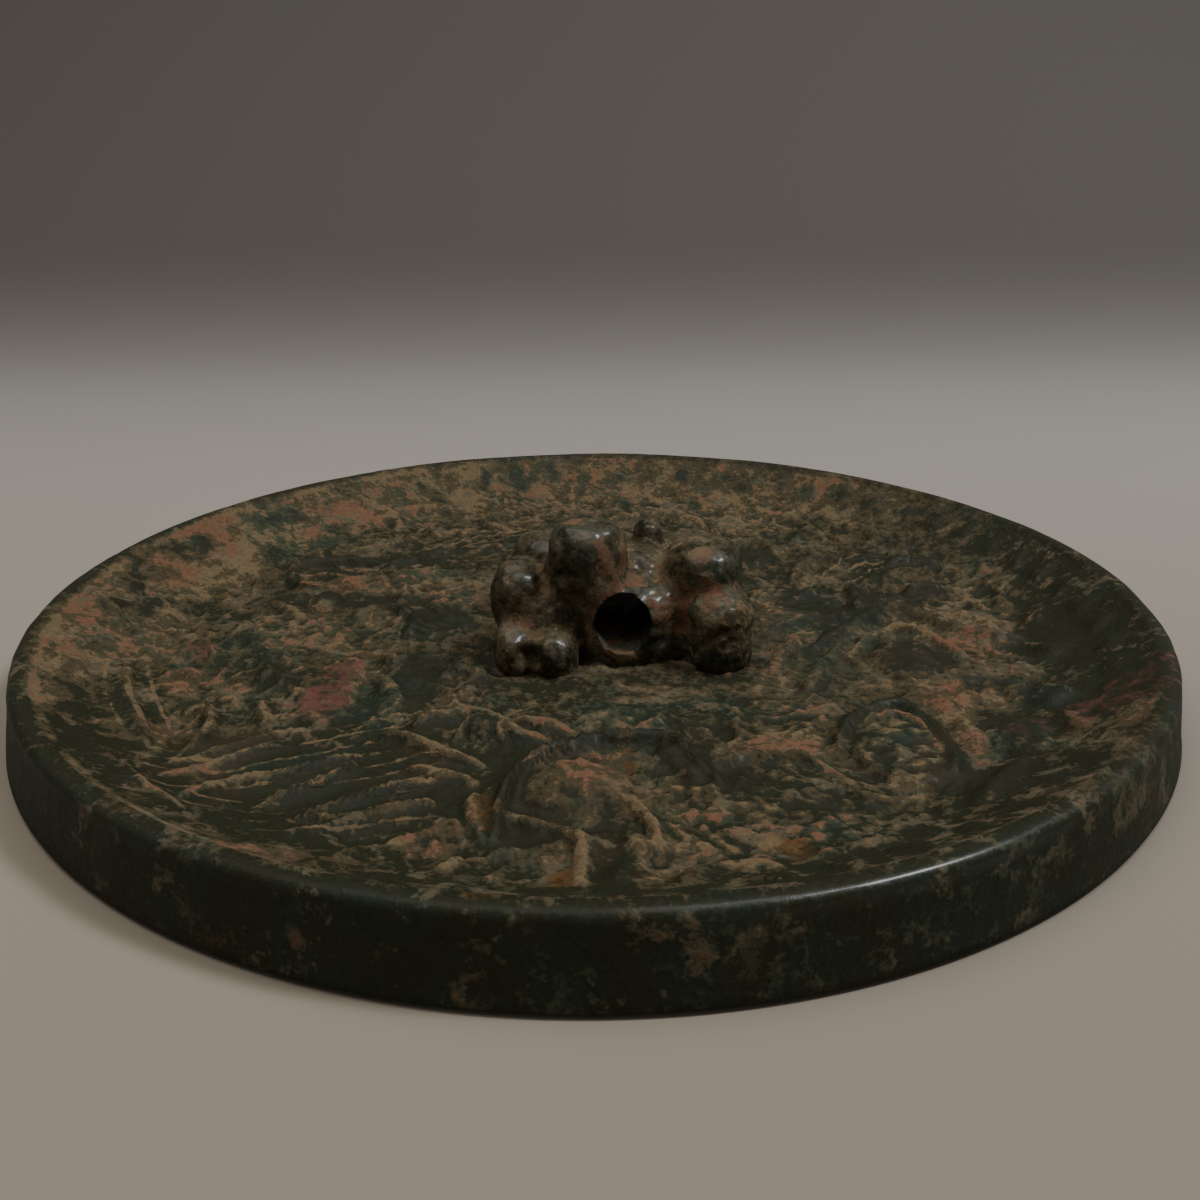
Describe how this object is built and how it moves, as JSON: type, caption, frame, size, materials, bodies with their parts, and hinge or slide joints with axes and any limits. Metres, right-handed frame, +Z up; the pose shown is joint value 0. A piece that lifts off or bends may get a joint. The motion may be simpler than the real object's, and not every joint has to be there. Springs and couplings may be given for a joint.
{
  "type": "ancient bronze mirror",
  "caption": "Round cast bronze mirror lying face down, its back a deep dish with a raised lip, a sawtooth border, high relief beasts and a pierced lumpy knob for a cord",
  "frame": {"origin": "Middle of the underside, which is the polished reflecting face and lies on the table", "axes": "+Z up out of the decorated back, +X to the right and +Y away as seen looking through the cord hole from the front"},
  "size_m": [0.121, 0.121, 0.0162],
  "materials": {
    "bronze": "Cast high-tin bronze with an old olive to black patina, worn glossy on high places, with sandy and pinkish earth in the hollows, green copper tints and a few red and rust stains"
  },
  "bodies": {
    "root": {"mirror": "bronze"}
  },
  "joints": []
}
